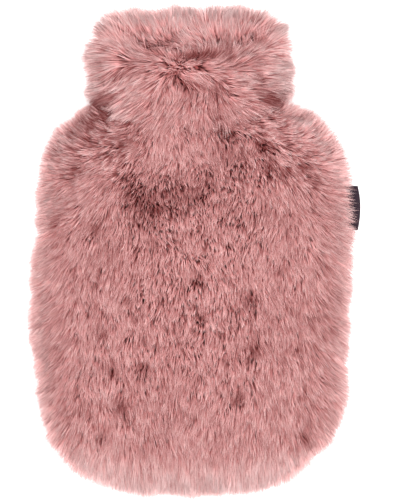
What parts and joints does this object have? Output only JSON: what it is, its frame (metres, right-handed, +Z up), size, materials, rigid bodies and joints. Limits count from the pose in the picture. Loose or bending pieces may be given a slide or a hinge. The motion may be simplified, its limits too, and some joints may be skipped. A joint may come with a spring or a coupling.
{
  "type": "hot water bottle cover",
  "caption": "Long-pile plush cover for a hot water bottle, lying on its back, with a rolled collar round the neck and a plain tape label in the side seam.",
  "frame": {"origin": "middle of the bounding box's underside, on the surface that the cover lies on", "axes": "+X towards the side with the label, +Y along the cover towards the collar, +Z up through the front panel"},
  "size_m": [0.2553, 0.3775, 0.0744],
  "materials": {
    "front_panel": "long dusty pink pile, combed down and outwards",
    "back_panel": "long dusty pink pile, pressed flat underneath",
    "collar": "long dusty pink pile, turned down over the neck",
    "label": "dark plum woven tape, matt and bare"
  },
  "bodies": {
    "root": {"front_panel": "front_panel", "back_panel": "back_panel", "collar": "collar", "label": "label"}
  },
  "joints": []
}
